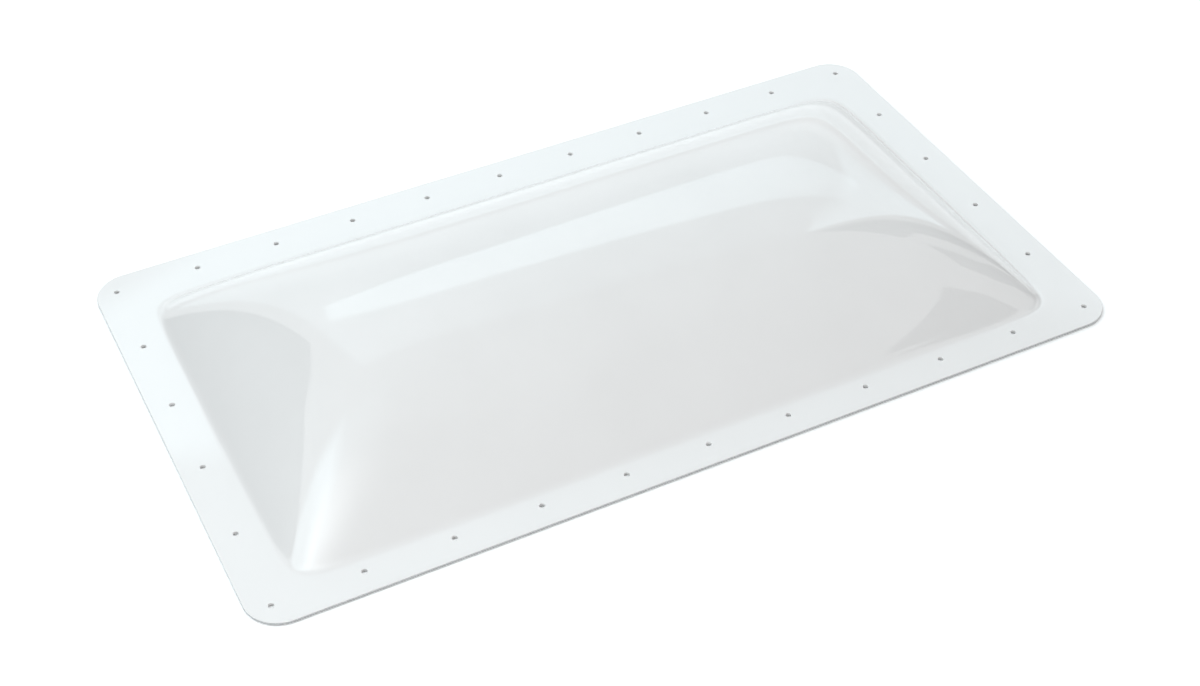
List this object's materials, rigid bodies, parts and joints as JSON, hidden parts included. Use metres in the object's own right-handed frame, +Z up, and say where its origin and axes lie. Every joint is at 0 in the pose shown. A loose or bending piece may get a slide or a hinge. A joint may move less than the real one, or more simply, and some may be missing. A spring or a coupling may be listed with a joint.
{
  "type": "roof skylight",
  "caption": "Bubble skylight for a camper roof: a long white plastic dome with a drilled screw flange on sealing strips.",
  "frame": {"origin": "on the roof surface under the middle of the flange", "axes": "+X along the length, +Y across, +Z up out of the roof"},
  "size_m": [0.851, 0.49, 0.0912],
  "materials": {
    "dome_plastic": "glossy milky white formed sheet",
    "seal": "matt pale grey sealing strip"
  },
  "bodies": {
    "root": {"dome": "dome_plastic", "gasket_front": "seal", "gasket_rear": "seal", "gasket_left": "seal", "gasket_right": "seal"}
  },
  "joints": []
}
